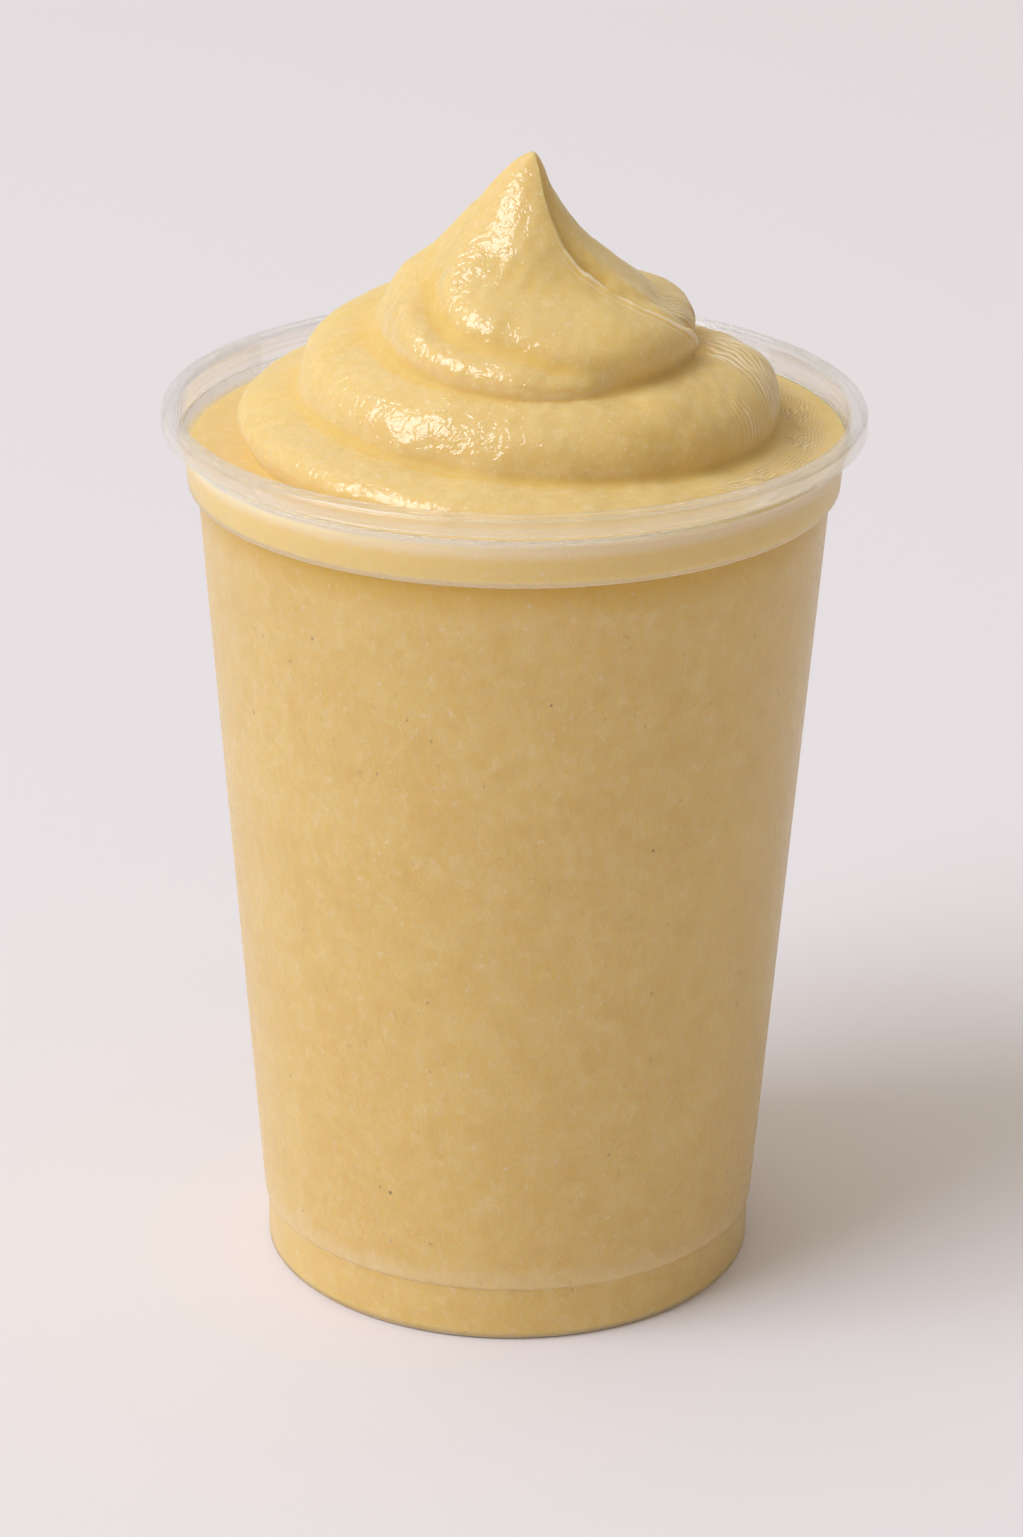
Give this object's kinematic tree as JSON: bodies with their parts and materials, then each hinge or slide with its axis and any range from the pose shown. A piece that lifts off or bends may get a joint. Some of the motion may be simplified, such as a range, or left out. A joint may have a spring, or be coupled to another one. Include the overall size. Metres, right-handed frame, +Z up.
{
  "type": "cup of cupuacu smoothie",
  "caption": "Clear plastic cup with a rolled lip and stacking band, full of pale yellow cupuacu smoothie that rises above the mouth in a soft pointed swirl.",
  "frame": {"origin": "centre of the cup's base, on the surface it stands on", "axes": "+Z up along the cup's axis; -Y faces the viewer of the picture; +X to that viewer's right, the side the swirl's tip leans to"},
  "size_m": [0.098, 0.098, 0.1644],
  "materials": {
    "clear_cup": "clear to slightly milky, satin outside",
    "smoothie": "smooth, wet and softly glossy"
  },
  "bodies": {
    "root": {"cup": "clear_cup", "smoothie": "smoothie"}
  },
  "joints": []
}
